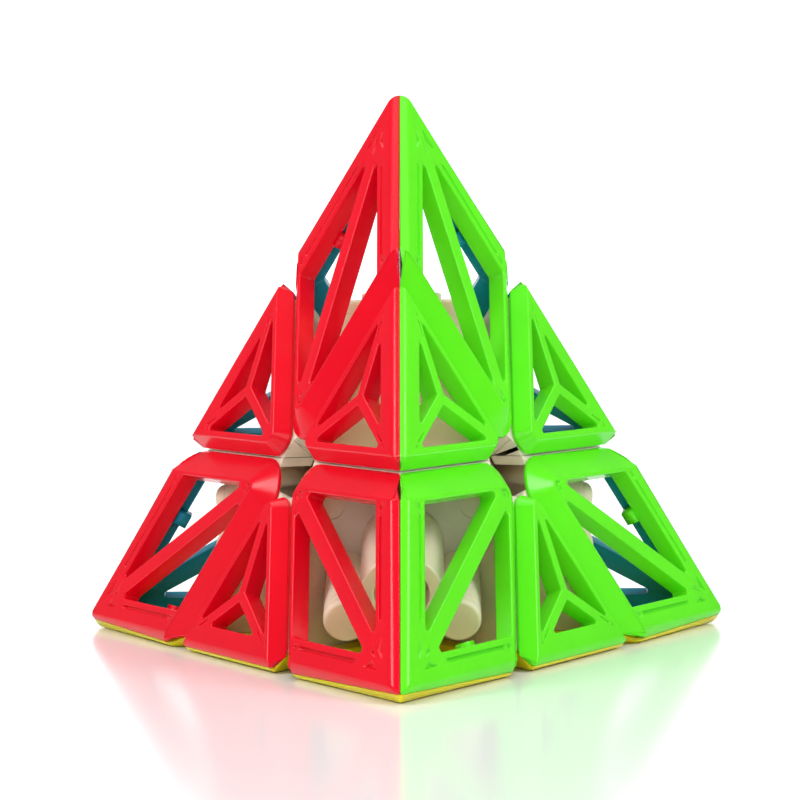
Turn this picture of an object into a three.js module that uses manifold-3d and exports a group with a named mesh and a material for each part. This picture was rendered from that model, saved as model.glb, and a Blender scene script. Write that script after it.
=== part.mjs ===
// Pyramid twisty puzzle with skeleton frames: a tetrahedron cut into four corner units
// and six edge units, all held on one core by four sprung screws.
// Millimetres, +Z up. The origin is the middle of the core, where the four turning axes cross.
import * as THREE from "three";
import { ConvexGeometry } from "three/addons/geometries/ConvexGeometry.js";
import { mergeVertices } from "three/addons/utils/BufferGeometryUtils.js";
import Module from "manifold-3d";

// Whole tetrahedron
const HEIGHT = 80;
const CIRCUMRADIUS = (3 / 4) * HEIGHT; // centre to a sharp corner
const FACE = HEIGHT / 4; // centre to a face
const CUT = HEIGHT / 12; // centre to each cut plane between layers
const FACE_INRADIUS = HEIGHT / (2 * Math.SQRT2); // middle of a face to its sides
const TILT = (2 * Math.SQRT2) / 3; // sine of the angle between a face and a cut plane
const GAP = 0.3; // clearance on each side of a cut, and between fixed pieces
const MITRE_GAP = 0.15; // on each side of the seam between two colours
const TIP_ROUND = 4; // how far the corner tips are blunted
const EDGE_ROUND = 1.1; // how far the long edges are blunted

// Coloured frames
const FRAME_DEPTH = 2.5;
const BEVEL_DEPTH = 2.05; // along the cuts, down from the face
const CORNER_CREST = 3.1; // from the cut to where the bevel starts, on a corner frame
const CORNER_SIDE_BAR = 3.7; // from the cut to the window
const CORNER_LONG_BAR = 5.5; // from the long edge to the window
const CORNER_RIB = 2.6;
const EDGE_CREST = 2.3;
const EDGE_SIDE_BAR = 3.2;
const EDGE_LONG_BAR = 4.5;
const EDGE_RIB = 1.8;

// White inner pieces
const WALL = 1.2;
const HUB_FACE = FACE - FRAME_DEPTH - GAP; // centre to the hub's outside, under the frames
const PLATE_BOTTOM = 11.5;
const PLATE_TOP = 13;
const TUBE_RADIUS = 5.5;
const TUBE_TOP = 29;
const BORE_RADIUS = 3.6;
const BORE_FLOOR = 11;
const PEG_RADIUS = 2.95;
const PEG_OFFSET = 8.5; // from the turning axis
const PEG_ROOT = 12.5; // inside the plate
const PEG_TOP = 28;
const PEG_CHAMFER = 0.4;
const INNER_CUT = 3; // the layers part here inside the ball zone, so that feet reach under corners
const ZONE_RADIUS = 13.4; // ball zone that holds the feet of the edge units
const ZONE_CLEARANCE = 0.5;

// Core, screws, springs and washers
const BALL_RADIUS = 8;
const BOSS_RADIUS = 4.4;
const BOSS_TOP = 8.1;
const FOOT_FLOOR = BALL_RADIUS + 2 * GAP; // underside of the feet, over the ball
const STEM_BOTTOM = BOSS_TOP + GAP;
const SHANK_RADIUS = 1.05;
const SHANK_TIP = 3;
const SHANK_POINT = 1; // length of the pointed end
const PILOT_BOTTOM = 2.4;
const PILOT_RADIUS = 1.35;
const THROUGH_RADIUS = 1.6;
const HEAD_RADIUS = 2.8;
const HEAD_BOTTOM = 18.2;
const HEAD_HEIGHT = 2;
const HEAD_DOME = 0.6; // height of the sloping rim
const HEAD_SLOPE = 0.8; // width of the sloping rim
const SLOT_WIDTH = 0.8;
const SLOT_LENGTH = 3.6;
const SLOT_DEPTH = 1.1;
const WASHER_RADIUS = 3.2;
const WASHER_BOTTOM = 17.2;
const WASHER_THICKNESS = 0.7;
const COIL_RADIUS = 2.55;
const WIRE_RADIUS = 0.35;
const SPRING_BOTTOM = BORE_FLOOR + GAP;
const SPRING_TOP = WASHER_BOTTOM - GAP;
const SPRING_TURNS = 4;

// Mesh fineness
const TUBE_SIDES = 20;
const BOSS_SIDES = 16;
const PEG_SIDES = 12;
const SCREW_SIDES = 12;
const HOLE_SIDES = 10;
const BALL_SEGMENTS = 20;
const BALL_RINGS = 12;
const STEPS_PER_TURN = 12;
const WIRE_SEGMENTS = 3; // for each quarter of the spring's wire
const OVERRUN = 1; // how far a cutter runs past the solid that it cuts
const SAME_POINT = 1e-4;
const TOLERANCE = 1e-6;

const wasm = await Module();
wasm.setup();

const AXES = {
  top: new THREE.Vector3(0, 0, 1),
  front: new THREE.Vector3(0, -TILT, -1 / 3),
  left: new THREE.Vector3(-Math.sqrt(2 / 3), TILT / 2, -1 / 3),
  right: new THREE.Vector3(Math.sqrt(2 / 3), TILT / 2, -1 / 3),
};
const NAMES = Object.keys(AXES);
// A face is named by the corner that it lies opposite.
const FACE_COLOURS = { right: "red", left: "green", front: "blue", top: "yellow" };

const plastic = (color) => new THREE.MeshStandardMaterial({ color, roughness: 0.3, metalness: 0 });
const steel = new THREE.MeshStandardMaterial({ color: 0xb9bcc0, roughness: 0.3, metalness: 1 });
const MATERIALS = {
  red: plastic(0xf51430),
  green: plastic(0x5ff028),
  blue: plastic(0x1e96c8),
  yellow: plastic(0xf0dc14),
  white: plastic(0xf2ece0),
  steel,
};

const others = (...names) => NAMES.filter((name) => !names.includes(name));
// Half spaces: all points whose distance along the axis is below, or above, the limit.
const below = (axis, limit) => ({ axis, limit });
const above = (axis, limit) => ({ axis: axis.clone().negate(), limit: -limit });

function toSolid(geometry) {
  const bare = geometry.clone();
  bare.deleteAttribute("normal");
  bare.deleteAttribute("uv");
  const merged = mergeVertices(bare, SAME_POINT);
  const triVerts = new Uint32Array(merged.index.array);
  const vertProperties = new Float32Array(merged.attributes.position.array);
  return new wasm.Manifold(new wasm.Mesh({ numProp: 3, vertProperties, triVerts }));
}

function toMesh(name, solid, colour) {
  const { vertProperties, triVerts } = solid.getMesh();
  const geometry = new THREE.BufferGeometry();
  geometry.setAttribute("position", new THREE.BufferAttribute(vertProperties, 3));
  geometry.setIndex(new THREE.BufferAttribute(triVerts, 1));
  geometry.computeVertexNormals();
  const mesh = new THREE.Mesh(geometry, MATERIALS[colour]);
  mesh.name = name;
  return mesh;
}

// The convex solid that a list of half spaces leaves.
function convex(planes) {
  const corners = [];
  const inside = (p) => planes.every(({ axis, limit }) => axis.dot(p) <= limit + TOLERANCE);
  for (let i = 0; i < planes.length; i++)
    for (let j = i + 1; j < planes.length; j++)
      for (let k = j + 1; k < planes.length; k++) {
        const [a, b, c] = [planes[i], planes[j], planes[k]];
        const bc = b.axis.clone().cross(c.axis);
        const size = a.axis.dot(bc);
        if (Math.abs(size) < TOLERANCE) continue;
        const point = bc.multiplyScalar(a.limit);
        point.addScaledVector(c.axis.clone().cross(a.axis), b.limit);
        point.addScaledVector(a.axis.clone().cross(b.axis), c.limit);
        point.divideScalar(size);
        const found = corners.some((p) => p.distanceTo(point) < SAME_POINT);
        if (inside(point) && !found) corners.push(point);
      }
  return toSolid(new ConvexGeometry(corners));
}

const joined = (solids) => solids.reduce((all, one) => all.add(one));

// A solid of revolution about a corner's turning axis, from [radius, distance] points.
function turned(axis, outline, sides, offset = new THREE.Vector3()) {
  const points = outline.map(([radius, along]) => new THREE.Vector2(radius, along));
  const geometry = new THREE.LatheGeometry(points, sides);
  const turn = new THREE.Quaternion().setFromUnitVectors(new THREE.Vector3(0, 1, 0), axis);
  geometry.applyQuaternion(turn);
  geometry.translate(offset.x, offset.y, offset.z);
  return toSolid(geometry);
}

const rod = (axis, radius, bottom, top, sides, offset) =>
  turned(axis, [[0, bottom], [radius, bottom], [radius, top], [0, top]], sides, offset);

const ring = (axis, inner, outer, bottom, top, sides) =>
  turned(axis, [[inner, bottom], [outer, bottom], [outer, top], [inner, top], [inner, bottom]], sides);

const ball = (radius) => toSolid(new THREE.SphereGeometry(radius, BALL_SEGMENTS, BALL_RINGS));

// One face of the tetrahedron: directions that lie in it and point towards its three corners.
function faceOf(opposite) {
  const normal = AXES[opposite].clone().negate();
  const towards = {};
  for (const name of others(opposite)) {
    const flat = AXES[name].clone().addScaledVector(normal, -AXES[name].dot(normal));
    towards[name] = flat.normalize();
  }
  return { normal, towards };
}

const slabOf = (normal, bottom, top) => [below(normal, top), above(normal, bottom)];

// The bevel along a cut: it starts at the crest on the face and ends low on the cut's side.
function bevel(normal, axis, crest, sign) {
  const start = CUT - sign * crest * TILT;
  const run = sign * (CUT - sign * GAP - start);
  const direction = normal.clone().multiplyScalar(run).addScaledVector(axis, sign * BEVEL_DEPTH);
  return below(direction, run * FACE + sign * BEVEL_DEPTH * start);
}

// The seam with the next colour at a long edge, and the blunted edge itself.
function longEdge(normal, nextNormal) {
  const across = normal.clone().sub(nextNormal);
  const outward = normal.clone().add(nextNormal).normalize();
  const sharpEdge = FACE * Math.sqrt(3);
  return [above(across, MITRE_GAP * across.length()), below(outward, sharpEdge - EDGE_ROUND)];
}

// One diamond-shaped frame of a corner unit, with a rib along its long diagonal.
function cornerFrame(corner, opposite) {
  const { normal, towards } = faceOf(opposite);
  const [p, q] = others(corner, opposite);
  const outer = [...slabOf(normal, FACE - FRAME_DEPTH, FACE)];
  outer.push(below(AXES[corner], CIRCUMRADIUS - TIP_ROUND), above(AXES[corner], CUT + GAP));
  for (const [side, next] of [[p, q], [q, p]]) {
    outer.push(below(AXES[side], CUT - GAP));
    outer.push(bevel(normal, AXES[side], CORNER_CREST, 1));
    outer.push(...longEdge(normal, AXES[next].clone().negate()));
  }
  let frame = convex(outer);
  for (const [near, far] of [[p, q], [q, p]]) {
    const fromRib = towards[far].clone().sub(towards[near]).normalize();
    const window = [
      ...slabOf(normal, FACE - FRAME_DEPTH - OVERRUN, FACE + OVERRUN),
      below(towards[far], -CORNER_SIDE_BAR),
      above(towards[near], CORNER_LONG_BAR - FACE_INRADIUS),
      above(fromRib, CORNER_RIB / 2),
    ];
    frame = frame.subtract(convex(window));
  }
  return frame;
}

// One triangular frame of an edge unit, with three ribs that meet in its middle.
function edgeFrame(a, b, opposite) {
  const { normal, towards } = faceOf(opposite);
  const [far] = others(a, b, opposite);
  const outer = [...slabOf(normal, FACE - FRAME_DEPTH, FACE)];
  for (const side of [a, b]) {
    outer.push(above(AXES[side], CUT + GAP));
    outer.push(bevel(normal, AXES[side], EDGE_CREST, -1));
  }
  outer.push(...longEdge(normal, AXES[far].clone().negate()));
  let frame = convex(outer);
  const sides = [
    { towards: towards[a], start: 0, bar: EDGE_SIDE_BAR },
    { towards: towards[b], start: 0, bar: EDGE_SIDE_BAR },
    { towards: towards[far], start: -FACE_INRADIUS, bar: EDGE_LONG_BAR },
  ];
  for (const side of sides) {
    const window = slabOf(normal, FACE - FRAME_DEPTH - OVERRUN, FACE + OVERRUN);
    window.push(above(side.towards, side.start + side.bar));
    for (const next of sides.filter((other) => other !== side)) {
      const between = next.towards.clone().sub(side.towards);
      const spread = between.length();
      window.push(above(between, next.start - side.start + (spread * EDGE_RIB) / 2));
    }
    frame = frame.subtract(convex(window));
  }
  return frame;
}

// The white middle of a corner unit: walls on its three cuts, a plate, a tube and three pegs.
function cornerHub(corner) {
  const axis = AXES[corner];
  const rest = others(corner);
  const cell = [];
  for (const name of rest) {
    cell.push(below(AXES[name], CUT - GAP));
    cell.push(above(AXES[name], -HUB_FACE));
  }
  const walls = rest.map((name) =>
    convex([...cell, above(AXES[name], CUT - GAP - WALL), above(axis, CUT + GAP)]),
  );
  const plate = convex([...cell, above(axis, PLATE_BOTTOM), below(axis, PLATE_TOP)]);
  const middle = rest.map((name) => below(AXES[name], INNER_CUT - GAP));
  const inner = convex([...middle, above(axis, PLATE_BOTTOM), below(axis, PLATE_TOP)]);
  const pegs = rest.map((name) => {
    const sideways = AXES[name].clone().addScaledVector(axis, -AXES[name].dot(axis)).normalize();
    const outline = [
      [0, PEG_ROOT],
      [PEG_RADIUS, PEG_ROOT],
      [PEG_RADIUS, PEG_TOP - PEG_CHAMFER],
      [PEG_RADIUS - PEG_CHAMFER, PEG_TOP],
      [0, PEG_TOP],
    ];
    return turned(axis, outline, PEG_SIDES, sideways.multiplyScalar(PEG_OFFSET));
  });
  const body = joined([...walls, plate, ...pegs]).subtract(ball(ZONE_RADIUS + ZONE_CLEARANCE));
  const tube = rod(axis, TUBE_RADIUS, STEM_BOTTOM, TUBE_TOP, TUBE_SIDES);
  const bore = rod(axis, BORE_RADIUS, BORE_FLOOR, TUBE_TOP + OVERRUN, TUBE_SIDES);
  const [holeBottom, holeTop] = [STEM_BOTTOM - OVERRUN, BORE_FLOOR + OVERRUN];
  const hole = rod(axis, THROUGH_RADIUS, holeBottom, holeTop, HOLE_SIDES);
  return joined([body, inner, tube]).subtract(bore).subtract(hole).intersect(convex(cell));
}

// The white middle of an edge unit: two walls on its cuts, and a foot that reaches
// under both neighbouring corner units and holds the edge unit in.
function edgeHub(a, b) {
  const apart = others(a, b);
  const cell = [above(AXES[a], CUT + GAP), above(AXES[b], CUT + GAP)];
  for (const name of apart) cell.push(above(AXES[name], -HUB_FACE));
  const walls = [a, b].map((name) => convex([...cell, below(AXES[name], CUT + GAP + WALL)]));
  const footing = [above(AXES[a], INNER_CUT + GAP), above(AXES[b], INNER_CUT + GAP)];
  for (const name of apart) footing.push(below(AXES[name], INNER_CUT - GAP));
  const outward = AXES[a].clone().add(AXES[b]).normalize();
  footing.push(below(outward, ZONE_RADIUS));
  const foot = convex(footing).intersect(ball(ZONE_RADIUS)).subtract(ball(FOOT_FLOOR));
  return joined([...walls, foot]);
}

function core() {
  let solid = ball(BALL_RADIUS);
  for (const name of NAMES) {
    solid = solid.add(rod(AXES[name], BOSS_RADIUS, 0, BOSS_TOP, BOSS_SIDES));
  }
  for (const name of NAMES) {
    const top = BOSS_TOP + OVERRUN;
    solid = solid.subtract(rod(AXES[name], PILOT_RADIUS, PILOT_BOTTOM, top, HOLE_SIDES));
  }
  return solid;
}

function screw(axis) {
  const top = HEAD_BOTTOM + HEAD_HEIGHT;
  const outline = [
    [0, SHANK_TIP],
    [SHANK_RADIUS, SHANK_TIP + SHANK_POINT],
    [SHANK_RADIUS, HEAD_BOTTOM],
    [HEAD_RADIUS, HEAD_BOTTOM],
    [HEAD_RADIUS, top - HEAD_DOME],
    [HEAD_RADIUS - HEAD_SLOPE, top],
    [0, top],
  ];
  const turn = new THREE.Quaternion().setFromUnitVectors(new THREE.Vector3(0, 1, 0), axis);
  const slots = [[SLOT_LENGTH, SLOT_WIDTH], [SLOT_WIDTH, SLOT_LENGTH]].map(([x, z]) => {
    const box = new THREE.BoxGeometry(x, 2 * SLOT_DEPTH, z);
    box.translate(0, top, 0);
    return toSolid(box.applyQuaternion(turn));
  });
  return turned(axis, outline, SCREW_SIDES).subtract(joined(slots));
}

class Coil extends THREE.Curve {
  getPoint(t, target = new THREE.Vector3()) {
    const angle = 2 * Math.PI * SPRING_TURNS * t;
    const bottom = SPRING_BOTTOM + WIRE_RADIUS;
    const along = bottom + (SPRING_TOP - WIRE_RADIUS - bottom) * t;
    return target.set(COIL_RADIUS * Math.cos(angle), along, COIL_RADIUS * Math.sin(angle));
  }
}

function spring(axis) {
  const section = new THREE.Shape().absarc(0, 0, WIRE_RADIUS, 0, 2 * Math.PI);
  const geometry = new THREE.ExtrudeGeometry(section, {
    steps: STEPS_PER_TURN * SPRING_TURNS,
    curveSegments: WIRE_SEGMENTS,
    extrudePath: new Coil(),
  });
  const turn = new THREE.Quaternion().setFromUnitVectors(new THREE.Vector3(0, 1, 0), axis);
  return toSolid(geometry.applyQuaternion(turn));
}

const puzzle = new THREE.Group();
puzzle.name = "pyramid_twisty_puzzle";
puzzle.add(toMesh("core", core(), "white"));

for (const corner of NAMES) {
  const axis = AXES[corner];
  const washerTop = WASHER_BOTTOM + WASHER_THICKNESS;
  const unit = new THREE.Group();
  unit.add(toMesh(`screw_${corner}`, screw(axis), "steel"));
  unit.add(toMesh(`spring_${corner}`, spring(axis), "steel"));
  const washer = ring(axis, PILOT_RADIUS, WASHER_RADIUS, WASHER_BOTTOM, washerTop, BOSS_SIDES);
  unit.add(toMesh(`washer_${corner}`, washer, "steel"));
  unit.add(toMesh(`corner_${corner}_hub`, cornerHub(corner), "white"));
  for (const face of others(corner)) {
    const colour = FACE_COLOURS[face];
    unit.add(toMesh(`corner_${corner}_frame_${colour}`, cornerFrame(corner, face), colour));
  }
  puzzle.add(unit);
}

NAMES.forEach((a, index) => {
  for (const b of NAMES.slice(index + 1)) {
    const unit = new THREE.Group();
    unit.add(toMesh(`edge_${a}_${b}_hub`, edgeHub(a, b), "white"));
    for (const face of others(a, b)) {
      const colour = FACE_COLOURS[face];
      unit.add(toMesh(`edge_${a}_${b}_frame_${colour}`, edgeFrame(a, b, face), colour));
    }
    puzzle.add(unit);
  }
});

export default puzzle;
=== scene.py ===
"""Pyramid twisty puzzle with skeleton frames: the looks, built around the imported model."""

import math

import bmesh
import bpy
from mathutils import Matrix, Vector
from mathutils.geometry import delaunay_2d_cdt


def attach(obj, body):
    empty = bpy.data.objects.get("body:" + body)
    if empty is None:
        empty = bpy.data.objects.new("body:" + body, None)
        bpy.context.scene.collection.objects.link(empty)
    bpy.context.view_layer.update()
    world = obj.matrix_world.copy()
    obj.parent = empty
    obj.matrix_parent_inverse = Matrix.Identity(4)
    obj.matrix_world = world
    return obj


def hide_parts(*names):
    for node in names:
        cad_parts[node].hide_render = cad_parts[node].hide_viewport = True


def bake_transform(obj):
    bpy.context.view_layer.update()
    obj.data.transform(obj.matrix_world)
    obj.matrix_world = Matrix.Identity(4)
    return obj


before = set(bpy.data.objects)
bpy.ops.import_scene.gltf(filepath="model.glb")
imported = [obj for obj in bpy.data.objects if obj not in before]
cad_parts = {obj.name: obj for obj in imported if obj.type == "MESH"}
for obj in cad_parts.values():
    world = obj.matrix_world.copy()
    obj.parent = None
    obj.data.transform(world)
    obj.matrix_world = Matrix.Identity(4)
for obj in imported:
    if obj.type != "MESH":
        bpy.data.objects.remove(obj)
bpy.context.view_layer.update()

MM = 0.001

# The whole tetrahedron, in millimetres, as the model has it.
HEIGHT = 80.0
CIRCUMRADIUS = HEIGHT * 3 / 4  # centre to a tip
FACE = HEIGHT / 4  # centre to a face
CUT = HEIGHT / 12  # centre to a cut plane
TILT = 2 * math.sqrt(2) / 3  # sine of the angle between a face and a cut plane
FACE_INRADIUS = HEIGHT / (2 * math.sqrt(2))  # middle of a face to its sides
HALF_SIDE = FACE_INRADIUS / math.sqrt(3)  # half the side of a diamond or a triangle
HALF_DIHEDRAL = math.asin(1 / math.sqrt(3))
GAP = 0.3  # between moving pieces of the mechanism
FRAME_GAP = 0.18  # from a coloured frame to the cut plane
SEAM_GAP = 0.03  # from a coloured frame to the mitre it shares with its neighbour

AXES = {
    "top": Vector((0, 0, 1)),
    "front": Vector((0, -TILT, -1 / 3)),
    "left": Vector((-math.sqrt(2 / 3), TILT / 2, -1 / 3)),
    "right": Vector((math.sqrt(2 / 3), TILT / 2, -1 / 3)),
}
NAMES = list(AXES)
FACE_COLOURS = {"right": "red", "left": "green", "front": "blue", "top": "yellow"}


def others(*names):
    """The corners that are not named, in order."""
    return [name for name in NAMES if name not in names]


# ---------------------------------------------------------------- materials


def node_tree(name):
    material = bpy.data.materials.new(name)
    material.use_nodes = True
    tree = material.node_tree
    return material, tree, tree.nodes["Principled BSDF"]


NOISE_ROUGHNESS = 0.55
NOISE_RANGE = 0.3, 0.7  # where most of the values of the noise are
TINT_RANGE = 0.35, 0.65
HAZE_RANGE = 0.85, 1.25  # least and most roughness of a plastic, as shares of its own
REFLECTIVITY = 0.28
LEAST_SCATTER = 0.05
SCATTER_DEPTH = 0.0012


def noise(tree, scale, detail=4.0):
    coordinates = tree.nodes.new("ShaderNodeTexCoord")
    texture = tree.nodes.new("ShaderNodeTexNoise")
    texture.inputs["Scale"].default_value = scale
    texture.inputs["Detail"].default_value = detail
    texture.inputs["Roughness"].default_value = NOISE_ROUGHNESS
    tree.links.new(coordinates.outputs["Object"], texture.inputs["Vector"])
    return texture.outputs["Fac"]


def remap(tree, value, low, high):
    spread = tree.nodes.new("ShaderNodeMapRange")
    spread.inputs["From Min"].default_value = NOISE_RANGE[0]
    spread.inputs["From Max"].default_value = NOISE_RANGE[1]
    spread.inputs["To Min"].default_value = low
    spread.inputs["To Max"].default_value = high
    tree.links.new(value, spread.inputs["Value"])
    return spread.outputs["Result"]


def bump(tree, shader, height, strength, distance):
    node = tree.nodes.new("ShaderNodeBump")
    node.inputs["Strength"].default_value = strength
    node.inputs["Distance"].default_value = distance
    tree.links.new(height, node.inputs["Height"])
    tree.links.new(node.outputs["Normal"], shader.inputs["Normal"])


def tinted(tree, shader, value, low, high):
    ramp = tree.nodes.new("ShaderNodeValToRGB")
    for stop, position, colour in zip(ramp.color_ramp.elements, TINT_RANGE, (low, high)):
        stop.position = position
        stop.color = (*colour, 1)
    tree.links.new(value, ramp.inputs["Fac"])
    tree.links.new(ramp.outputs["Color"], shader.inputs["Base Color"])


def moulded_plastic(name, colour, roughness, glow, shade=0.93):
    """Glossy moulded plastic: faint colour flow, a hazy gloss that varies, and a very fine skin."""
    material, tree, shader = node_tree(name)
    flow = noise(tree, scale=60)
    tinted(tree, shader, flow, tuple(c * shade for c in colour), colour)
    least, most = (roughness * share for share in HAZE_RANGE)
    haze = remap(tree, noise(tree, scale=220, detail=6), least, most)
    tree.links.new(haze, shader.inputs["Roughness"])
    bump(tree, shader, noise(tree, scale=3000, detail=2), strength=0.03, distance=0.00002)
    shader.inputs["Specular IOR Level"].default_value = REFLECTIVITY
    shader.inputs["Subsurface Weight"].default_value = glow
    shader.inputs["Subsurface Radius"].default_value = tuple(max(c, LEAST_SCATTER) for c in colour)
    shader.inputs["Subsurface Scale"].default_value = SCATTER_DEPTH
    return material


def plated_steel(name, dark, light, roughness):
    """Bright plated steel with a fine grain."""
    material, tree, shader = node_tree(name)
    shader.inputs["Metallic"].default_value = 1.0
    tinted(tree, shader, noise(tree, scale=300), dark, light)
    haze = remap(tree, noise(tree, scale=900, detail=6), *roughness)
    tree.links.new(haze, shader.inputs["Roughness"])
    bump(tree, shader, noise(tree, scale=2500, detail=2), strength=0.1, distance=0.00003)
    return material


GLOSSY, SATIN = 0.20, 0.42
OPAQUE, WARM, MILKY = 0.05, 0.45, 0.5  # how much light goes in and comes out again
MATERIALS = {
    "red": moulded_plastic("red_abs", (0.88, 0.002, 0.018), GLOSSY, OPAQUE),
    "green": moulded_plastic("green_abs", (0.13, 0.87, 0.012), GLOSSY, OPAQUE),
    "blue": moulded_plastic("blue_abs", (0.004, 0.30, 0.44), GLOSSY, OPAQUE),
    "yellow": moulded_plastic("yellow_abs", (0.98, 0.86, 0.008), GLOSSY, WARM),
    "white": moulded_plastic("ivory_nylon", (0.96, 0.83, 0.63), SATIN, MILKY, shade=0.97),
    "steel": plated_steel("plated_steel", (0.52, 0.52, 0.54), (0.66, 0.66, 0.67), (0.22, 0.42)),
}


# ---------------------------------------------------------------- lofted plates

POCKET_RIM, POCKET_FLOOR = (0.06, 0.05), 0.5  # the worn rim (inset, depth), and the depth
MERGE_DISTANCE = 1e-7
LUG_OVERLAP = 0.1  # how far a lug goes into the back of its plate


def line_meeting(p, d, q, e):
    """Where the line through p along d meets the line through q along e."""
    size = d.x * e.y - d.y * e.x
    return p + d * (((q.x - p.x) * e.y - (q.y - p.y) * e.x) / size)


def rounded_loop(corners, offsets, depths, radii, segments):
    """A closed loop inside a polygon, with round corners, that runs the same way round.

    Each side is moved inwards by its offset and down by its depth.
    """
    count = len(corners)
    along = [(corners[(i + 1) % count] - corners[i]).normalized() for i in range(count)]
    inwards = [Vector((-d.y, d.x)) for d in along]
    loop = []
    for i in range(count):
        before = i - 1
        start = corners[i] + inwards[before] * offsets[before]
        end = corners[i] + inwards[i] * offsets[i]
        corner = line_meeting(start, along[before], end, along[i])
        half = along[before].angle(-along[i]) / 2
        middle = corner + (along[i] - along[before]).normalized() * (radii[i] / math.sin(half))
        bend = 1 if along[before].cross(along[i]) > 0 else -1
        sweep = (math.pi - 2 * half) * bend
        first = -inwards[before] * bend
        for step in range(segments + 1):
            share = step / segments
            angle = sweep * share
            spoke = Vector((
                first.x * math.cos(angle) - first.y * math.sin(angle),
                first.x * math.sin(angle) + first.y * math.cos(angle),
            ))
            ease = share * share * (3 - 2 * share)
            depth = depths[before] * (1 - ease) + depths[i] * ease
            loop.append(Vector((*(middle + spoke * radii[i]), -depth)))
    return loop


def fillet(before, corner, after, radius, steps):
    """Points along the arc that rounds a corner of an (offset, depth) profile."""
    a, b, c = Vector(before), Vector(corner), Vector(after)
    to_a, to_c = (a - b).normalized(), (c - b).normalized()
    half = to_a.angle(to_c) / 2
    reach = radius / math.tan(half)
    middle = b + (to_a + to_c).normalized() * (radius / math.sin(half))
    first, last = b + to_a * reach - middle, b + to_c * reach - middle
    points = []
    for step in range(steps + 1):
        spoke = first.slerp(last, step / steps).normalized() * radius
        points.append(tuple(middle + spoke))
    return points


class Plate:
    """A plate with its face at z = 0 and its back at z = -depth, built from loops of points."""

    def __init__(self, depth):
        self.depth = depth
        self.mesh = bmesh.new()
        self.front = []
        self.back = []

    def skin(self, loops):
        """Joins loops that lie one inside or under the other, and returns the first and last."""
        rings = [[self.mesh.verts.new(point) for point in loop] for loop in loops]
        for upper, lower in zip(rings, rings[1:]):
            count = len(upper)
            for i in range(count):
                j = (i + 1) % count
                self.mesh.faces.new((upper[i], upper[j], lower[j], lower[i]))
        return rings[0], rings[-1]

    def outline(self, loops):
        """Adds a wall that goes right through, from the face to the back."""
        front, back = self.skin(loops)
        self.front.append(front)
        self.back.append(back)

    def pocket(self, corners, radius, taper=0.12, segments=3):
        """A shallow engraved shape in the face."""
        count = len(corners)
        loops = []
        for inset, depth in ((0.0, 0.0), POCKET_RIM, (taper, POCKET_FLOOR)):
            radii = [radius] * count
            loops.append(rounded_loop(corners, [inset] * count, [depth] * count, radii, segments))
        top, bottom = self.skin(loops)
        self.front.append(top)
        self.mesh.faces.new(bottom)

    def cap(self, rings):
        """Fills the flat area inside the first ring and outside all the others."""
        vertices = [vertex for ring in rings for vertex in ring]
        edges, start = [], 0
        for ring in rings:
            count = len(ring)
            edges += [(start + i, start + (i + 1) % count) for i in range(count)]
            start += count
        flat = [vertex.co.xy for vertex in vertices]
        result = delaunay_2d_cdt(flat, edges, [], 0, MERGE_DISTANCE)
        points, triangles, origins = result[0], result[2], result[3]
        outlines = [[vertex.co.xy for vertex in ring] for ring in rings]
        for triangle in triangles:
            middle = sum((points[i] for i in triangle), Vector((0, 0))) / 3
            in_hole = any(inside(middle, hole) for hole in outlines[1:])
            if inside(middle, outlines[0]) and not in_hole:
                self.mesh.faces.new([vertices[origins[i][0]] for i in triangle])

    def lug(self, middle, along, size, bottom):
        """A small block on the back, that goes down to a depth."""
        height = -(self.depth + bottom) / 2 + LUG_OVERLAP
        place = Matrix.Translation((middle.x, middle.y, height))
        place @= Matrix.Rotation(math.atan2(along.y, along.x), 4, "Z")
        place @= Matrix.Diagonal((*size, bottom - self.depth + 2 * LUG_OVERLAP, 1))
        bmesh.ops.create_cube(self.mesh, size=1, matrix=place)

    def close(self):
        """Fills the face and the back between the walls."""
        self.cap(self.front)
        self.cap(self.back)

    def blunt(self, middle, radius):
        """Pulls everything beyond a ball's middle, along +X, back onto the ball."""
        for vertex in self.mesh.verts:
            spoke = vertex.co - middle
            if spoke.x > 0 and spoke.length > radius:
                vertex.co = middle + spoke * (radius / spoke.length)


def shell(mesh, name):
    """Ends a bmesh, in millimetres, as a smooth-shaded mesh with its faces turned outwards."""
    bmesh.ops.recalc_face_normals(mesh, faces=mesh.faces)
    for face in mesh.faces:
        face.smooth = True
    mesh.transform(Matrix.Scale(MM, 4))
    data = bpy.data.meshes.new(name)
    mesh.to_mesh(data)
    mesh.free()
    return data


def inside(point, outline):
    """Whether a point is inside a closed outline."""
    hit = False
    count = len(outline)
    for i in range(count):
        a, b = outline[i], outline[(i + 1) % count]
        if (a.y > point.y) != (b.y > point.y):
            if point.x < a.x + (b.x - a.x) * (point.y - a.y) / (b.y - a.y):
                hit = not hit
    return hit


# ---------------------------------------------------------------- coloured frames

FRAME_DEPTH = 2.5
BEVEL_DEPTH = 2.05
EDGE_RADIUS = 1.6  # rounding of the long edges
TIP_RADIUS = 2.0  # rounding of the tips
CREST_ROUND = {-1: 0.7, 1: 0.45}  # for a cut that leans out, and one that leans in
BEVEL_ROUND = 0.2  # where the wide bevel meets the cut side
BACK_ROUND = {"cut": 0.1, "long": 0.12}
BACK_LEAD = 1  # how far the back goes on inwards, for its rounding
CREST_STEPS = 6
SIDE_STEPS = 3
BACK_STEPS = 2
SEAM_SHARE = 0.08  # of the mitre, from one step down it to the next
FLAT_LEAD = 0.25  # flat face between the outline and the cap
LEAST_ROUND = 0.35  # least corner radius of an outline
OUTLINE_SEGMENTS, WINDOW_SEGMENTS = 8, 4
WINDOW_ROUND = 0.22
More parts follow.
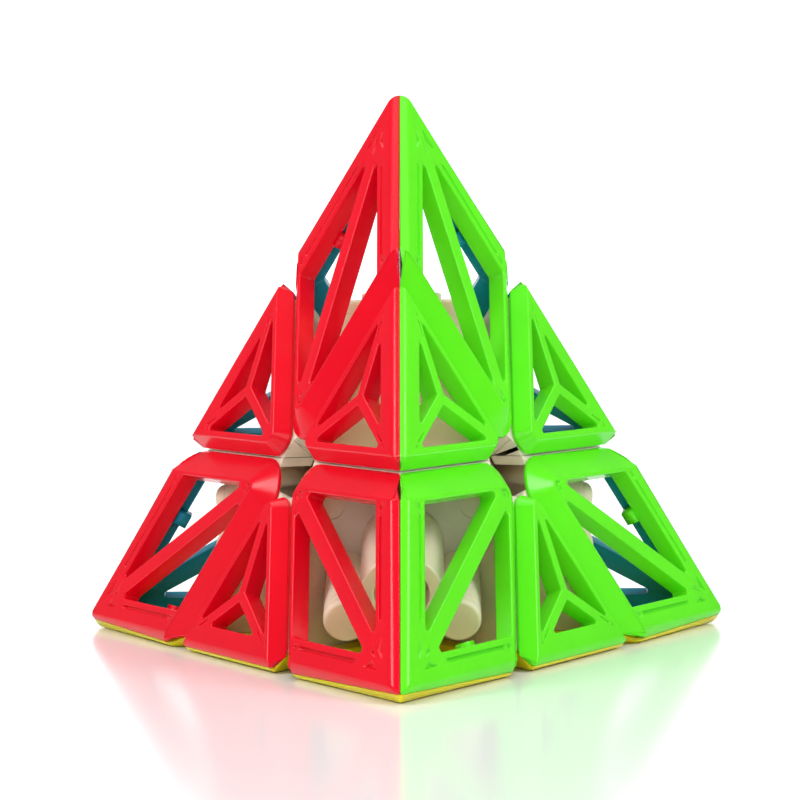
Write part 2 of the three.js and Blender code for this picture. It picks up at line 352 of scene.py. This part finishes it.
# Of a window's rim, down from the face: how much further in than the opening, and the depth.
WINDOW_STAGES = [
    (-WINDOW_ROUND, 0.0), (-0.07, 0.065), (0.0, WINDOW_ROUND),
    (0.06, FRAME_DEPTH - 0.12), (0.0, FRAME_DEPTH),
]
KEEP_ROUNDS = 8  # times round the sides, since a move in from one is a move out of the next


def cut_side(depth, lean):
    """How far inside a cut side the cut plane is at a depth. It leans out (-1) or in (1)."""
    return FRAME_GAP / TILT + lean * depth * math.tan(math.asin(1 / 3))


def cut_limit(depth, crest, lean):
    """How far inside a cut side a frame has to stay, to be behind the wide bevel and the cut."""
    bevel = crest + (cut_side(BEVEL_DEPTH, lean) - crest) * depth / BEVEL_DEPTH
    return max(bevel, cut_side(depth, lean))


def long_limit(depth):
    """How far inside a long side a frame has to stay, to be inside the round edge and the mitre."""
    mitre = SEAM_GAP + depth / math.tan(HALF_DIHEDRAL)
    if depth > EDGE_RADIUS:
        return mitre
    tangent = EDGE_RADIUS / math.tan(HALF_DIHEDRAL)
    return max(mitre, tangent - math.sqrt(EDGE_RADIUS**2 - (EDGE_RADIUS - depth) ** 2))


def cut_profile(crest, lean):
    """From the face over the crest, down the wide bevel and along the cut plane to the back."""
    low, bottom = ((cut_side(depth, lean), depth) for depth in (BEVEL_DEPTH, FRAME_DEPTH))
    top = (crest, 0.0)
    points = [(crest + FLAT_LEAD, 0.0)]
    points += fillet(points[0], top, low, CREST_ROUND[lean], CREST_STEPS)
    points += fillet(top, low, bottom, BEVEL_ROUND, SIDE_STEPS)
    back = (bottom[0] + BACK_LEAD, FRAME_DEPTH)
    points += fillet(low, bottom, back, BACK_ROUND["cut"], BACK_STEPS)
    return points


def long_profile():
    """From the face round the long edge to the seam, and down the mitre to the back."""
    tangent = EDGE_RADIUS / math.tan(HALF_DIHEDRAL)
    points = [(tangent + FLAT_LEAD, 0.0)]
    for step in range(CREST_STEPS + 1):
        angle = (math.pi / 2 - HALF_DIHEDRAL) * step / CREST_STEPS
        offset = tangent - EDGE_RADIUS * math.sin(angle)
        points.append((offset + SEAM_GAP * step / CREST_STEPS, EDGE_RADIUS * (1 - math.cos(angle))))
    seam = points[-1]
    slope = 1 / math.tan(HALF_DIHEDRAL)
    bottom = (FRAME_DEPTH * slope + SEAM_GAP, FRAME_DEPTH)
    for step in range(SIDE_STEPS + 1):
        share = SEAM_SHARE * (step + 1)
        points.append(tuple(Vector(seam).lerp(Vector(bottom), share)))
    back = (bottom[0] + BACK_LEAD, FRAME_DEPTH)
    points += fillet(seam, bottom, back, BACK_ROUND["long"], BACK_STEPS)
    return points


def kept_inside(point, corners, limits):
    """The point, moved in the plane of the face to inside every side's limit at its depth."""
    for i, limit in list(enumerate(limits)) * KEEP_ROUNDS:
        along = (corners[(i + 1) % len(corners)] - corners[i]).normalized()
        inwards = Vector((-along.y, along.x))
        short = limit(max(0.0, -point.z)) - (point.xy - corners[i]).dot(inwards)
        if short > 0:
            point = point + inwards.to_3d() * short
    return point


def frame_outline(plate, corners, kinds, radii, crest, lean):
    """The outside of a frame: each side follows the profile of its kind."""
    count = len(corners)
    loops = []
    profiles = {"cut": cut_profile(crest, lean), "long": long_profile()}
    limit = {"cut": lambda depth: cut_limit(depth, crest, lean), "long": long_limit}
    limits = [limit[kind] for kind in kinds]
    for stage in zip(*(profiles[kind] for kind in kinds)):
        offsets, depths = zip(*stage)
        means = [(offsets[i - 1] + offsets[i]) / 2 for i in range(count)]
        stage_radii = [max(LEAST_ROUND, radius - mean) for radius, mean in zip(radii, means)]
        loop = rounded_loop(corners, offsets, depths, stage_radii, OUTLINE_SEGMENTS)
        loops.append([kept_inside(point, corners, limits) for point in loop])
    plate.outline(loops)


def window(plate, corners, offsets, radius):
    """An opening with rounded rims and slightly drafted walls."""
    count = len(corners)
    radii = [radius] * count
    loops = []
    for extra, depth in WINDOW_STAGES:
        moved = [offset + extra for offset in offsets]
        loops.append(rounded_loop(corners, moved, [depth] * count, radii, WINDOW_SEGMENTS))
    plate.outline(loops)


def turned_shape(shape, at, angle):
    """A small flat shape, turned by an angle and moved to a place on the face."""
    c, s = math.cos(angle), math.sin(angle)
    return [Vector((at.x + x * c - y * s, at.y + x * s + y * c)) for x, y in shape]


CORNER_CREST = 3.1
CORNER_SIDE_BAR = 3.75
CORNER_LONG_BAR = 5.5
CORNER_RIB = 2.5
CORNER_ROUND = [4.3, 2.2, 1.6, 2.2]  # middle of the face, side corner, tip, side corner
CORNER_WINDOW_ROUND = 0.5
# Engraved in both long bars: the shape, how far along the side and in from it, and its rounding.
BAR_MARKS = [
    ([(0, -0.33), (15.2, -0.33), (15.2, 0.33), (0, 0.33)], 3.5, 4.35, 0.2),  # a long line
    ([(0, -0.25), (1.1, -0.42), (1.1, 0.42), (0, 0.25)], 2.0, 4.3, 0.1),  # a wedge before it
    ([(0, -0.4), (4.1, -0.45), (2.1, 0.5)], 20.6, 4.3, 0.08),  # a triangle after it
]
TIP_MARK = [(43.9, -0.42), (46.9, 0), (43.9, 0.42)]
RIB_MARK = [(8.85, -0.3), (9.6, -0.3), (9.6, 0.3), (8.85, 0.3)]
BRACKET_MARK = [
    (7.95, -0.4), (8.85, -0.95), (9.1, -0.62), (8.45, -0.2),
    (8.45, 0.2), (9.1, 0.62), (8.85, 0.95), (7.95, 0.4),
]
LUG_SIZE, LUG_DEPTH = (2.0, 1.9), 4.0
LUG_START, LUG_INSET = 8.0, 5.3  # along a long side from its outer end, and in from it


def corner_frame_mesh():
    """The diamond frame. Its inner corner is the middle of the face, and +X points to the tip."""
    middle, tip = Vector((0, 0)), Vector((2 * FACE_INRADIUS, 0))
    low = Vector((FACE_INRADIUS, -HALF_SIDE))
    high = Vector((FACE_INRADIUS, HALF_SIDE))
    plate = Plate(FRAME_DEPTH)
    kinds = ["cut", "long", "long", "cut"]
    frame_outline(plate, [middle, low, tip, high], kinds, CORNER_ROUND, CORNER_CREST, -1)
    side, long, rib = CORNER_SIDE_BAR, CORNER_LONG_BAR, CORNER_RIB / 2
    window(plate, [middle, tip, high], [rib, long, side], CORNER_WINDOW_ROUND)
    window(plate, [middle, low, tip], [side, long, rib], CORNER_WINDOW_ROUND)
    for corner, sign in ((low, 1), (high, -1)):
        along = (tip - corner).normalized()
        inwards = Vector((-along.y, along.x)) * sign
        angle = math.atan2(along.y, along.x)
        for shape, start, inset, rounding in BAR_MARKS:
            mirrored = [(x, y * sign) for x, y in shape][::sign]
            spot = corner + along * start + inwards * inset
            plate.pocket(turned_shape(mirrored, spot, angle), rounding)
    plate.pocket([Vector(p) for p in TIP_MARK], 0.1)
    plate.pocket([Vector(p) for p in RIB_MARK], 0.12)
    plate.pocket([Vector(p) for p in BRACKET_MARK], 0.04, taper=0.08, segments=2)
    along = (tip - high).normalized()
    inwards = Vector((along.y, -along.x))
    plate.lug(high + along * LUG_START + inwards * LUG_INSET, along, LUG_SIZE, LUG_DEPTH)
    plate.close()
    # The middle of a ball that touches three faces is three radii from the sharp tip.
    sharp, centre = tip.to_3d(), Vector((0, 0, -FACE))
    plate.blunt(sharp + (centre - sharp) * (3 * TIP_RADIUS / CIRCUMRADIUS), TIP_RADIUS)
    return shell(plate.mesh, "corner_frame")


EDGE_CREST = 2.3
EDGE_SIDE_BAR = 3.2
EDGE_LONG_BAR = 4.5
EDGE_RIB = 1.6
EDGE_ROUND = [3.6, 1.4, 1.4]  # middle of the face, and the two ends of the long side
EDGE_WINDOW_ROUND = 0.35
# Engraved in both ends of the long bar: a small triangle and a short line.
END_MARKS = [
    [(24.65, 9.75), (24.75, 10.75), (24.0, 10.1)],
    [(23.05, 7.3), (24.35, 9.35), (24.0, 9.5), (22.8, 7.45)],
]


def edge_frame_mesh():
    """The triangular frame. One corner is the middle of the face, and +X points to the edge."""
    middle = Vector((0, 0))
    low = Vector((FACE_INRADIUS, -HALF_SIDE))
    high = Vector((FACE_INRADIUS, HALF_SIDE))
    heart = Vector((FACE_INRADIUS * 2 / 3, 0))
    plate = Plate(FRAME_DEPTH)
    outline = [middle, low, high]
    frame_outline(plate, outline, ["cut", "long", "cut"], EDGE_ROUND, EDGE_CREST, 1)
    rib = EDGE_RIB / 2
    for i, bar in enumerate((EDGE_SIDE_BAR, EDGE_LONG_BAR, EDGE_SIDE_BAR)):
        ends = [outline[i], outline[(i + 1) % 3]]
        window(plate, [*ends, heart], [bar, rib, rib], EDGE_WINDOW_ROUND)
    for sign in (1, -1):
        for shape in END_MARKS:
            plate.pocket([Vector((x, y * sign)) for x, y in shape][::sign], 0.06, segments=2)
    plate.close()
    return shell(plate.mesh, "edge_frame")


def face_placement(opposite, towards, sign=1):
    """The matrix from a frame's own face coordinates to the tetrahedron's."""
    normal = -AXES[opposite]
    flat = AXES[towards] - normal * AXES[towards].dot(normal)
    x = flat.normalized() * sign
    y = normal.cross(x)
    place = Matrix((x, y, normal)).transposed().to_4x4()
    place.translation = normal * FACE * MM
    return place


LARGE_FACES = 100  # the weight at which only the large faces count


def add_piece(name, mesh, place, colour, body, *nodes):
    """Adds a copy of a mesh, with its placement in its points, in place of the model's nodes."""
    placed = mesh.copy()
    placed.name = name
    placed.transform(place)
    placed.materials.append(MATERIALS[colour])
    piece = bpy.data.objects.new(name, placed)
    bpy.context.scene.collection.objects.link(piece)
    weighted = piece.modifiers.new("flat_faces_stay_flat", "WEIGHTED_NORMAL")
    weighted.weight = LARGE_FACES
    weighted.keep_sharp = True
    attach(piece, body)
    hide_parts(*nodes)


def add_frames():
    """Three diamond frames on every corner, and two triangular ones on every edge."""
    corner_mesh, edge_mesh = corner_frame_mesh(), edge_frame_mesh()
    for corner in NAMES:
        for face in others(corner):
            colour = FACE_COLOURS[face]
            node = f"corner_{corner}_frame_{colour}"
            place = face_placement(face, corner)
            add_piece(f"shell_{node}", corner_mesh, place, colour, f"corner_{corner}", node)
    for index, a in enumerate(NAMES):
        for b in NAMES[index + 1:]:
            for face in others(a, b):
                colour = FACE_COLOURS[face]
                far = others(a, b, face)[0]
                node = f"edge_{a}_{b}_frame_{colour}"
                place = face_placement(face, far, -1)
                add_piece(f"shell_{node}", edge_mesh, place, colour, f"edge_{a}_{b}", node)


add_frames()


# ---------------------------------------------------------------- ivory mechanism

INNER_GAP = 0.04  # on each side of a cut, between the ivory walls
LIP = 0.25  # the walls' thin lips that stand up between the frames
LIP_TOP = FACE - 2.6
WALL = 1.2
WALL_TOP = FACE - FRAME_DEPTH - 0.04
PLATE_BOTTOM, PLATE_TOP = 11.5, 13.0
INNER_PLATE_TOP = PLATE_TOP - 0.2
ZONE_RADIUS, ZONE_CLEARANCE = 13.4, 0.5  # of the feet, under the corners' plates
INNER_CUT = 3.0  # centre to the cuts inside that zone
BALL_RADIUS = 8.0
STEM_BOTTOM = 8.4
STAR_RADIUS, STAR_FLOOR = 4.6, 12.5  # the hollow that the walls leave in the middle of a face
CORNER_LIP_BOTTOM, EDGE_LIP_BOTTOM = CUT + 3.4, 14.4
SCREW_WELL = 3.9, 9, 15  # radius, bottom and top of what is cut from the plate for the tube
PEG_POCKET = 2.2, 12.1, 14
PEG_POCKET_PLACE, PEG_PLACE = 11.3, 8.5  # from the axis
SHAFT_RADIUS, TUBE_RADIUS, TUBE_BORE = 1.6, 5.5, 3.6
TUBE_FLOOR, TUBE_TOP = 11, 29
SHARP_ANGLE = math.radians(35)
SOFT_EDGE = 0.08
PARALLEL, ON_PLANE, SAME_POINT = 1e-6, 1e-5, 1e-4  # tolerances for the corners of a solid

# Turned shapes: radius, height, and whether that corner is round.
TUBE = [
    (SHAFT_RADIUS, STEM_BOTTOM, False), (TUBE_RADIUS, STEM_BOTTOM, True),
    (TUBE_RADIUS, PLATE_TOP, False), (TUBE_RADIUS - 0.05, TUBE_TOP, True),
    (TUBE_BORE, TUBE_TOP, True), (TUBE_BORE, TUBE_FLOOR, False), (SHAFT_RADIUS, TUBE_FLOOR, False),
]
PEG = [
    (0, 12.5, False), (3.0, 12.5, False), (2.95, 26.05, False), (2.86, 26.1, False),
    (2.86, 26.16, False), (2.94, 26.22, False), (2.93, 28, True), (0, 28, False),
]
BOSS = [(0, 0, False), (4.4, 0, False), (4.4, 8.1, True), (0, 8.1, False)]
TUBE_ROUND, PEG_ROUND, BOSS_ROUND = 0.3, 0.55, 0.25


# A corner hub is built about +Z, with the other corners around it.
AXIS = Vector((0, 0, 1))
AROUND = [
    Vector((TILT * math.cos(a), TILT * math.sin(a), -1 / 3))
    for a in (0, 2 * math.pi / 3, 4 * math.pi / 3)
]


def above(axis, limit):
    """The half space beyond a limit along an axis."""
    return axis, limit


def below(axis, limit):
    """The half space before a limit along an axis."""
    return -axis, -limit


def block(mesh, planes):
    """Adds the convex solid inside a set of half spaces, each given as points p with p.n >= d."""
    points = []
    for i, (a, p) in enumerate(planes):
        for j, (b, q) in enumerate(planes[i + 1:], i + 1):
            for c, r in planes[j + 1:]:
                size = a.dot(b.cross(c))
                if abs(size) < PARALLEL:
                    continue
                point = (b.cross(c) * p + c.cross(a) * q + a.cross(b) * r) / size
                if all(point.dot(n) >= d - ON_PLANE for n, d in planes):
                    if all((point - other).length > SAME_POINT for other in points):
                        points.append(point)
    vertices = [mesh.verts.new(point) for point in points]
    hull = bmesh.ops.convex_hull(mesh, input=vertices)
    bmesh.ops.delete(mesh, geom=hull["geom_interior"] + hull["geom_unused"], context="VERTS")


def lathe(mesh, profile, place, sides=48):
    """Turns a profile of (radius, height) points, closed at the axis or on itself, about Z."""
    closed = profile[0][0] > 0
    rings = []
    for radius, height in profile:
        if radius == 0:
            rings.append([mesh.verts.new(place @ Vector((0, 0, height)))])
            continue
        turns = [2 * math.pi * k / sides for k in range(sides)]
        ring = [(radius * math.cos(t), radius * math.sin(t), height) for t in turns]
        rings.append([mesh.verts.new(place @ Vector(point)) for point in ring])
    pairs = list(zip(rings, rings[1:]))
    if closed:
        pairs.append((rings[-1], rings[0]))
    for low, high in pairs:
        for k in range(sides):
            n = (k + 1) % sides
            quad = [low[k % len(low)], low[n % len(low)], high[n % len(high)], high[k % len(high)]]
            corners = list(dict.fromkeys(quad))
            mesh.faces.new(corners)


def cylinder(radius, bottom, top):
    """The profile of a solid cylinder."""
    return [(0, bottom), (radius, bottom), (radius, top), (0, top)]


def ball(mesh, radius, sides=48):
    """Adds a ball in the middle of the puzzle."""
    bmesh.ops.create_uvsphere(mesh, u_segments=sides, v_segments=sides // 2, radius=radius)


ROUNDED_STEPS = 4


def rounded(profile, radius):
    """The profile with its round corners rounded."""
    points = []
    count = len(profile)
    for i, (x, y, soft) in enumerate(profile):
        if not soft:
            points.append((x, y))
            continue
        before, after = profile[i - 1][:2], profile[(i + 1) % count][:2]
        points += fillet(before, (x, y), after, radius, ROUNDED_STEPS)
    return points


def cut_away(data, cutter):
    """The first mesh with the second taken out of it, and its sharp edges softened."""
    objects = [bpy.data.objects.new("cutting", mesh) for mesh in (data, cutter)]
    for item in objects:
        bpy.context.scene.collection.objects.link(item)
    change = objects[0].modifiers.new("cut", "BOOLEAN")
    change.operation = "DIFFERENCE"
    change.solver = "EXACT"
    change.use_self = True
    change.object = objects[1]
    soften = objects[0].modifiers.new("soften", "BEVEL")
    soften.width = SOFT_EDGE * MM
    soften.segments = 2
    soften.limit_method = "ANGLE"
    soften.angle_limit = SHARP_ANGLE
    graph = bpy.context.evaluated_depsgraph_get()
    made = bpy.data.meshes.new_from_object(objects[0].evaluated_get(graph))
    for item in objects:
        bpy.data.objects.remove(item)
    return made


def star_hollow(cutter, side):
    """Adds the round hollow in the middle of the face that is away from a corner."""
    turn = AXIS.rotation_difference(-side).to_matrix().to_4x4()
    lathe(cutter, cylinder(STAR_RADIUS, STAR_FLOOR, FACE), turn)


def join(name, *parts):
    """One mesh out of several, smooth but for its sharp edges."""
    mesh = bmesh.new()
    for part in parts:
        mesh.from_mesh(part)
    for face in mesh.faces:
        face.smooth = True
    data = bpy.data.meshes.new(name)
    mesh.to_mesh(data)
    mesh.free()
    data.set_sharp_from_angle(angle=SHARP_ANGLE)
    return data


def corner_hub_mesh():
    """Three walls on the cuts, a plate with pockets, a tube for the screw and three pegs."""
    body = bmesh.new()
    cell = []
    for side in AROUND:
        cell += [below(side, CUT - INNER_GAP), above(side, -WALL_TOP)]
    floor = above(AXIS, CUT + INNER_GAP)
    for side in AROUND:
        block(body, cell + [above(side, CUT - INNER_GAP - WALL), floor])
        tall = [(n, -LIP_TOP if d == -WALL_TOP else d) for n, d in cell]
        lip = [above(side, CUT - INNER_GAP - LIP), above(AXIS, CORNER_LIP_BOTTOM)]
        block(body, tall + lip)
    block(body, cell + [above(AXIS, PLATE_BOTTOM), below(AXIS, PLATE_TOP)])
    cutter = bmesh.new()
    ball(cutter, ZONE_RADIUS + ZONE_CLEARANCE)
    lathe(cutter, cylinder(*SCREW_WELL), Matrix())
    for side in AROUND:
        away = Vector((-side.x, -side.y, 0)).normalized() * PEG_POCKET_PLACE
        lathe(cutter, cylinder(*PEG_POCKET), Matrix.Translation(away), sides=32)
        star_hollow(cutter, side)
    walls = cut_away(shell(body, "walls"), shell(cutter, "cutter"))
    inner = bmesh.new()
    cell = [below(side, INNER_CUT - GAP) for side in AROUND]
    block(inner, cell + [above(AXIS, PLATE_BOTTOM), below(AXIS, INNER_PLATE_TOP)])
    well = bmesh.new()
    lathe(well, cylinder(*SCREW_WELL), Matrix())
    inner_plate = cut_away(shell(inner, "inner"), shell(well, "well"))
    turned = bmesh.new()
    lathe(turned, rounded(TUBE, TUBE_ROUND), Matrix(), sides=64)
    for side in AROUND:
        outward = Vector((side.x, side.y, 0)).normalized() * PEG_PLACE
        lathe(turned, rounded(PEG, PEG_ROUND), Matrix.Translation(outward), sides=40)
    return join("corner_hub", walls, inner_plate, shell(turned, "turned"))


FOOT_RADIUS = ZONE_RADIUS - 0.1
FOOT_SIDES, FOOT_TILTS = 16, (0.35, 0.7, 1.05)  # of the planes that make its round top


def edge_hub_mesh():
    """Built about +Z as the way out: two walls on the cuts, and the foot under the corners."""
    a = Vector((math.sqrt(2 / 3), 0, 1 / math.sqrt(3)))
    b = Vector((-a.x, 0, a.z))
    c = Vector((0, a.x, -a.z))
    d = Vector((0, -a.x, -a.z))
    body = bmesh.new()
    cell = [above(a, CUT + INNER_GAP), above(b, CUT + INNER_GAP)]
    faces = [above(c, -WALL_TOP), above(d, -WALL_TOP)]
    lips = [above(c, -LIP_TOP), above(d, -LIP_TOP), above(AXIS, EDGE_LIP_BOTTOM)]
    for side in (a, b):
        block(body, cell + faces + [below(side, CUT + INNER_GAP + WALL)])
        block(body, cell + lips + [below(side, CUT + INNER_GAP + LIP)])
    cutter = bmesh.new()
    ball(cutter, BALL_RADIUS + 2 * GAP)
    for side in (c, d):
        star_hollow(cutter, side)
    walls = cut_away(shell(body, "walls"), shell(cutter, "cutter"))
    foot = bmesh.new()
    footing = [above(a, INNER_CUT + GAP), above(b, INNER_CUT + GAP)]
    footing += [below(c, INNER_CUT - GAP), below(d, INNER_CUT - GAP)]
    ways = [AXIS]
    for k in range(FOOT_SIDES):
        t = 2 * math.pi * k / FOOT_SIDES
        for tilt in FOOT_TILTS:
            level = math.sin(tilt)
            ways.append(Vector((level * math.cos(t), level * math.sin(t), math.cos(tilt))))
    footing += [below(way, FOOT_RADIUS) for way in ways]
    block(foot, footing)
    cutter = bmesh.new()
    ball(cutter, BALL_RADIUS + 2 * GAP)
    foot = cut_away(shell(foot, "foot"), shell(cutter, "cutter"))
    return join("edge_hub", walls, foot)


def turned_to(x, z):
    """The rotation that takes +X and +Z to two directions at right angles."""
    return Matrix((x, z.cross(x), z)).transposed().to_4x4()


def add_mechanism():
    """A hub for every corner and edge, and the ball with bosses in the middle."""
    corner_mesh, edge_mesh = corner_hub_mesh(), edge_hub_mesh()
    for name in NAMES:
        axis = AXES[name]
        other = AXES[others(name)[0]]
        place = turned_to((other - axis * other.dot(axis)).normalized(), axis)
        node = f"corner_{name}_hub"
        add_piece(f"mech_{node}", corner_mesh, place, "white", f"corner_{name}", node)
    for index, first in enumerate(NAMES):
        for second in NAMES[index + 1:]:
            a, b = AXES[first], AXES[second]
            place = turned_to((a - b).normalized(), (a + b).normalized())
            node = f"edge_{first}_{second}_hub"
            add_piece(f"mech_{node}", edge_mesh, place, "white", f"edge_{first}_{second}", node)
    middle = bmesh.new()
    ball(middle, BALL_RADIUS, sides=64)
    for name in NAMES:
        turn = AXIS.rotation_difference(AXES[name]).to_matrix().to_4x4()
        lathe(middle, rounded(BOSS, BOSS_ROUND), turn, sides=40)
    add_piece("mech_core", shell(middle, "middle"), Matrix(), "white", "core_body", "core")


add_mechanism()


# ---------------------------------------------------------------- springs

SPRING_BOTTOM, SPRING_TOP = 11.05, 17.15  # between the floor of the tube and the washer
COIL_RADIUS, WIRE_RADIUS = 2.55, 0.35
COIL_TURNS, COIL_STEPS, WIRE_SIDES = 4.5, 32, 12


def coil_mesh():
    """A coil about +Z, of round wire with flat ends."""
    mesh = bmesh.new()
    low, high = SPRING_BOTTOM + WIRE_RADIUS, SPRING_TOP - WIRE_RADIUS
    steps = round(COIL_TURNS * COIL_STEPS)
    rings = []
    for step in range(steps + 1):
        angle = 2 * math.pi * COIL_TURNS * step / steps
        outward = Vector((math.cos(angle), math.sin(angle), 0))
        middle = outward * COIL_RADIUS + AXIS * (low + (high - low) * step / steps)
        turns = [2 * math.pi * k / WIRE_SIDES for k in range(WIRE_SIDES)]
        spokes = [outward * math.cos(t) + AXIS * math.sin(t) for t in turns]
        rings.append([mesh.verts.new(middle + spoke * WIRE_RADIUS) for spoke in spokes])
    for before, after in zip(rings, rings[1:]):
        for k in range(WIRE_SIDES):
            n = (k + 1) % WIRE_SIDES
            mesh.faces.new((before[k], before[n], after[n], after[k]))
    mesh.faces.new(rings[0])
    mesh.faces.new(rings[-1])
    return shell(mesh, "coil")


def add_springs():
    """Springs about the corner axes, in plated steel, in place of the model's springs."""
    coil = coil_mesh()
    for name in NAMES:
        axis = AXES[name]
        placed = coil.copy()
        placed.transform(AXIS.rotation_difference(axis).to_matrix().to_4x4())
        placed.materials.append(MATERIALS["steel"])
        piece = bpy.data.objects.new(f"mech_spring_{name}", placed)
        bpy.context.scene.collection.objects.link(piece)
        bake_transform(piece)
        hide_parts(f"spring_{name}")


add_springs()


# ---------------------------------------------------------------- screws and washers


def finish_hardware():
    """The model's own screws and washers stay, in plated steel."""
    for name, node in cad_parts.items():
        if name.startswith(("screw", "washer")):
            node.data.materials.clear()
            node.data.materials.append(MATERIALS["steel"])


finish_hardware()


# ---------------------------------------------------------------- stage, lights and camera


SHEET_COLOUR = 0.88, 0.88, 0.885, 1
FLOOR_LEVEL = (-FACE - 0.05) * MM
FLOOR_HALF = 1.5  # metres, as all of this section
BACKDROP_HALF, BACKDROP_TOP = 0.6, 0.8
WHITE = 1, 1, 1, 1


def add_stage_piece(name, corners, roughness, glow):
    """A flat white sheet."""
    mesh = bpy.data.meshes.new(name)
    mesh.from_pydata(corners, [], [(0, 1, 2, 3)])
    sheet = bpy.data.objects.new(name, mesh)
    bpy.context.scene.collection.objects.link(sheet)
    material, tree, shader = node_tree(name)
    shader.inputs["Base Color"].default_value = SHEET_COLOUR
    shader.inputs["Roughness"].default_value = roughness
    shader.inputs["Emission Color"].default_value = WHITE
    shader.inputs["Emission Strength"].default_value = glow
    mesh.materials.append(material)


def add_stage():
    """A glossy floor, and a wall behind it that glows."""
    half, low = FLOOR_HALF, FLOOR_LEVEL
    floor = [(-half, -half, low), (half, -half, low), (half, half, low), (-half, half, low)]
    ends = ((-1, low), (1, low), (1, BACKDROP_TOP), (-1, BACKDROP_TOP))
    wall = [(side * BACKDROP_HALF, half, height) for side, height in ends]
    add_stage_piece("floor", floor, roughness=0.16, glow=0.0)
    add_stage_piece("backdrop", wall, roughness=0.6, glow=0.9)


# Name, place, target, size and power.
LIGHTS = [
    ("left_softbox", (-0.58, -0.24, 0.53), (0, 0, 0.02), (0.22, 0.4), 2.9),
    ("right_softbox", (0.58, -0.24, 0.53), (0, 0, 0.02), (0.22, 0.4), 2.9),
    ("front_fill", (0, -1.1, 0.45), (0, 0, 0), (1.2, 0.5), 4.0),
    ("top_softbox", (0, 0.2, 0.8), (0, 0.1, -0.02), (0.9, 0.9), 5.0),
]
WORLD_LIGHT = 0.22


def add_light(name, place, target, size, power):
    """A rectangular lamp that faces its target."""
    light = bpy.data.lights.new(name, "AREA")
    light.shape = "RECTANGLE"
    light.size, light.size_y = size
    light.energy = power
    lamp = bpy.data.objects.new(name, light)
    bpy.context.scene.collection.objects.link(lamp)
    lamp.location = place
    lamp.rotation_euler = (Vector(target) - Vector(place)).to_track_quat("-Z", "Y").to_euler()


def add_lights():
    """The lamps, and an even light from all around."""
    for lamp in LIGHTS:
        add_light(*lamp)
    world = bpy.data.worlds.new("white_room")
    world.use_nodes = True
    background = world.node_tree.nodes["Background"]
    background.inputs["Color"].default_value = WHITE
    background.inputs["Strength"].default_value = WORLD_LIGHT
    bpy.context.scene.world = world
    bpy.context.scene.view_settings.view_transform = "Standard"


CAMERA_DISTANCE = 0.4106
CAMERA_AZIMUTH = math.radians(0.669)
CAMERA_ELEVATION = math.radians(2.717)
CAMERA_ROLL = math.radians(-0.519)
CAMERA_TARGET = Vector((-0.00032, 0, 0.01425))
CAMERA_LENS, CAMERA_SENSOR = 134.3, 36
CAMERA_CLIP = 0.01


def add_camera():
    """A long lens, a little above the middle of the puzzle and turned a little."""
    data = bpy.data.cameras.new("camera")
    data.lens = CAMERA_LENS
    data.sensor_width = CAMERA_SENSOR
    data.clip_start = CAMERA_CLIP
    camera = bpy.data.objects.new("camera", data)
    bpy.context.scene.collection.objects.link(camera)
    level = math.cos(CAMERA_ELEVATION)
    towards = Vector((
        level * math.sin(CAMERA_AZIMUTH),
        -level * math.cos(CAMERA_AZIMUTH),
        math.sin(CAMERA_ELEVATION),
    ))
    right = (-towards).cross(AXIS).normalized()
    turn = Matrix((right, towards.cross(right), towards)).transposed().to_4x4()
    place = Matrix.Translation(CAMERA_TARGET + towards * CAMERA_DISTANCE)
    camera.matrix_world = place @ turn @ Matrix.Rotation(CAMERA_ROLL, 4, "Z")
    bpy.context.scene.camera = camera


add_stage()
add_lights()
add_camera()
